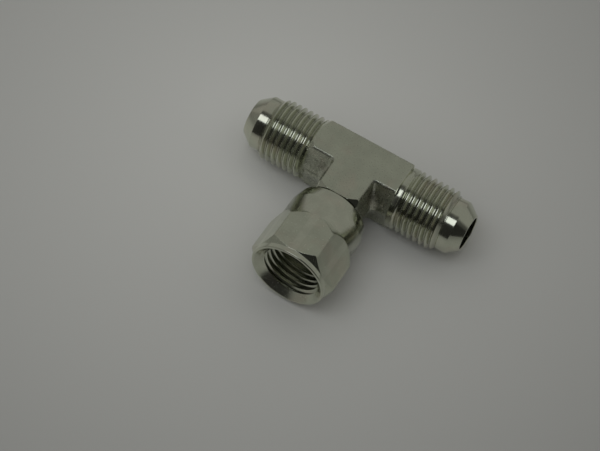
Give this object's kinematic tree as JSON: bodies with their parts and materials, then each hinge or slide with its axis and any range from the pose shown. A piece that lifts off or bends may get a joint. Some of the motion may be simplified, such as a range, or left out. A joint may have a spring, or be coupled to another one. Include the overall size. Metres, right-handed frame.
{
  "type": "flare fitting",
  "caption": "Hydraulic branch tee with male flare ends on the run and a swivel nut on the branch.",
  "frame": {"origin": "where the axis of the run crosses the axis of the branch", "axes": "+X along the run, -Y along the branch towards the open end of the swivel nut, +Z out of the upper flat pad"},
  "size_m": [0.0538, 0.0383, 0.018],
  "materials": {
    "forged_body": "zinc plate over fine-grained forged steel, with bright machined ends",
    "plated_nut": "bright zinc plate over machined steel"
  },
  "bodies": {
    "tee": {"tee_body": "forged_body"},
    "nut": {"swivel_nut": "plated_nut"}
  },
  "joints": [
    {"name": "nut_swivel", "type": "hinge", "parent": "tee", "child": "nut", "pos_m": [0, -0.0215, 0], "axis": [0, -1, 0], "continuous": true}
  ]
}
